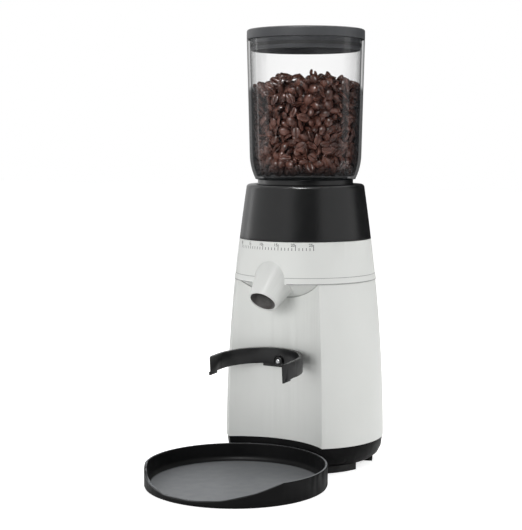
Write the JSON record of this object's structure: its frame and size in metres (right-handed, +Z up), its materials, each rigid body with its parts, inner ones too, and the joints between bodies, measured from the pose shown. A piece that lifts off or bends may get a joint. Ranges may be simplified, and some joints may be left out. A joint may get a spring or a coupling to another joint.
{
  "type": "burr coffee grinder",
  "caption": "Upright electric burr coffee grinder with a clear bean hopper, stepped grind collar, grounds spout, portafilter cradle with a push trigger, and a loose round tray.",
  "frame": {"origin": "middle of the footprint box, on the surface that the grinder and its tray stand on", "axes": "+Z up; -Y forward, the way the spout, the cradle and the tray face; +X to the right as seen from the front"},
  "size_m": [0.1544, 0.2618, 0.3863],
  "materials": {
    "white_shell": "satin moulded ABS, warm light grey-white",
    "black_satin": "satin black moulded plastic",
    "charcoal": "dark grey moulded plastic with a soft sheen",
    "clear_bin": "clear moulded plastic, lightly smoked",
    "beans": "roasted coffee beans, slightly oily",
    "rubber_black": "black rubber",
    "seal_red": "red silicone",
    "steel": "turned or pressed steel",
    "burr_steel": "hardened tool steel",
    "copper": "enamelled copper",
    "brass_gear": "machined brass",
    "zinc": "die-cast",
    "gear_nylon": "natural nylon",
    "inner_plastic": "black moulded plastic inside",
    "board": "green circuit board with parts",
    "wire": "red insulated wire",
    "carbon": "carbon block"
  },
  "bodies": {
    "base": {"collar_clip": "steel", "detent_spring": "steel", "shaft_bearings": "steel", "shaft_seal": "seal_red", "grind_chamber": "zinc", "chamber_screws": "steel", "gear_cover": "zinc", "gear_case": "zinc", "gear_case_screws": "steel", "brushes": "carbon", "motor_magnets": "carbon", "motor_can": "steel", "motor_end_cap": "inner_plastic", "motor_screws": "steel", "upper_housing": "white_shell", "spout": "white_shell", "body_shell": "white_shell", "housing_screws": "steel", "base_pan": "black_satin", "base_screws": "steel", "rubber_feet": "rubber_black", "portafilter_fork": "black_satin", "fork_screws": "steel", "button_spring": "steel", "switch_bracket": "steel", "microswitch": "inner_plastic", "rocker_housing": "black_satin", "cord_bush": "rubber_black", "control_board": "board", "wiring": "wire"},
    "lid": {"lid": "charcoal", "lid_seal": "rubber_black"},
    "hopper": {"hopper": "clear_bin", "hopper_neck": "black_satin", "coffee_beans": "beans"},
    "collar": {"grind_collar": "black_satin"},
    "burr_carrier": {"burr_carrier": "zinc", "carrier_pins": "steel", "ring_burr": "burr_steel"},
    "burrs": {"burr_shaft": "steel", "cone_burr": "burr_steel", "burr_nut": "steel", "impeller": "gear_nylon", "drive_gear": "gear_nylon"},
    "rotor": {"motor_shaft": "steel", "motor_pinion": "brass_gear", "armature": "steel", "windings": "copper", "commutator": "copper"},
    "tray": {"grounds_tray": "black_satin"},
    "trigger": {"trigger_button": "black_satin", "button_tip": "steel", "switch_plunger": "seal_red"},
    "rocker": {"power_rocker": "black_satin"}
  },
  "joints": [
    {"name": "collar_turn", "type": "hinge", "parent": "base", "child": "collar", "pos_m": [0, 0.05975, 0.225], "axis": [0, 0, 1], "range_deg": [-37.5, 37.5]},
    {"name": "burr_feed", "type": "slide", "parent": "base", "child": "burr_carrier", "axis": [0, 0, 1], "range_m": [-0.00075, 0.00075]},
    {"name": "hopper_lift", "type": "slide", "parent": "collar", "child": "hopper", "axis": [0, 0, 1], "range_m": [0, 0.06]},
    {"name": "lid_lift", "type": "slide", "parent": "hopper", "child": "lid", "axis": [0, 0, 1], "range_m": [0, 0.04]},
    {"name": "motor_spin", "type": "hinge", "parent": "base", "child": "rotor", "pos_m": [0, 0.09175, 0.1], "axis": [0, 0, 1], "continuous": true},
    {"name": "burr_spin", "type": "hinge", "parent": "base", "child": "burrs", "pos_m": [0, 0.05975, 0.18], "axis": [0, 0, 1], "continuous": true},
    {"name": "tray_slide", "type": "slide", "parent": "base", "child": "tray", "axis": [0, -1, 0], "range_m": [0, 0.13]},
    {"name": "trigger_press", "type": "slide", "parent": "base", "child": "trigger", "axis": [0, 1, 0], "range_m": [0, 0.0026], "stiffness_N_per_m": 400, "springref_m": -0.004, "deforming": ["button_spring"]},
    {"name": "rocker_tilt", "type": "hinge", "parent": "base", "child": "rocker", "pos_m": [-0.05863, 0.0936, 0.062], "axis": [0.5, 0.866, 0], "range_deg": [-14, 0]}
  ],
  "couplings": [
    {"joint": "burr_feed", "follows": "collar_turn", "m_per_rad": 0.0011459},
    {"joint": "burr_spin", "follows": "motor_spin", "ratio": -0.28}
  ]
}
